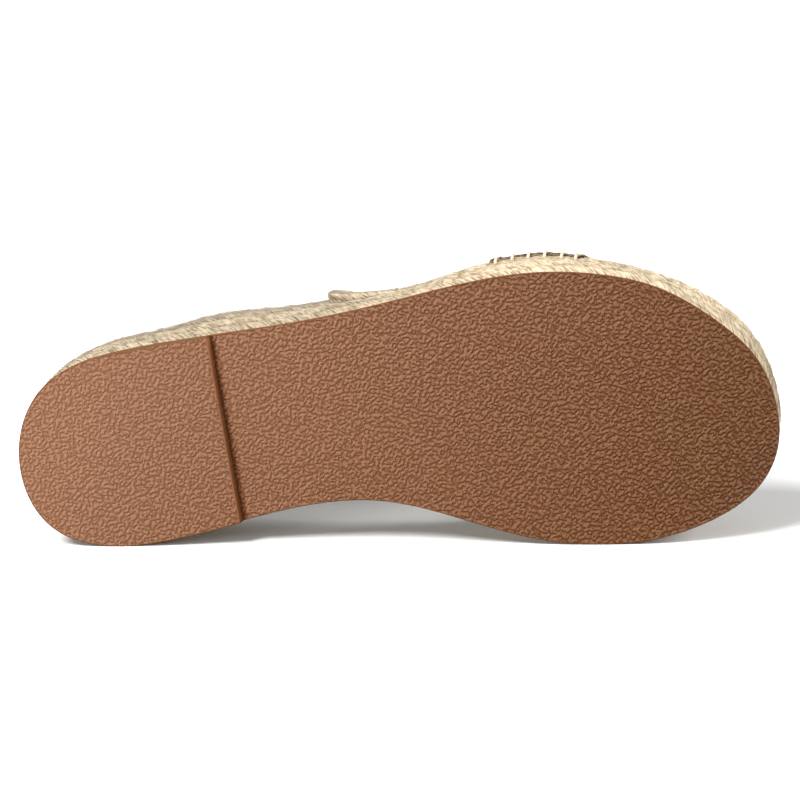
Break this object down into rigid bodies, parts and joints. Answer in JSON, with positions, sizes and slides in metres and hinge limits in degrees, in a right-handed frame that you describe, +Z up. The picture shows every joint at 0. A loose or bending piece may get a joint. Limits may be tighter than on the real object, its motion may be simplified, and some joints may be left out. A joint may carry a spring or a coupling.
{
  "type": "platform sandal",
  "caption": "Espadrille platform slide, right foot: pebble-grained rubber outsole with a stepped heel, jute-braid platform, insole and a stitched canvas band over the forefoot.",
  "frame": {"origin": "on the floor, under the centre of the box of the sandal as it lies on its inner side", "axes": "+X towards the toe, +Y the sandal's own up from tread to insole, +Z up from the floor towards the sandal's outer side"},
  "size_m": [0.2552, 0.0876, 0.0938],
  "materials": {
    "rubber": "moulded with a pebbled leather grain, satin",
    "jute": "natural braided jute, matt and hairy",
    "insole_linen": "natural woven linen, matt",
    "canvas": "black cotton canvas, matt"
  },
  "bodies": {
    "root": {"outsole": "rubber", "jute_platform": "jute", "jute_braid_tail": "jute", "insole": "insole_linen", "upper_band": "canvas"}
  },
  "joints": []
}
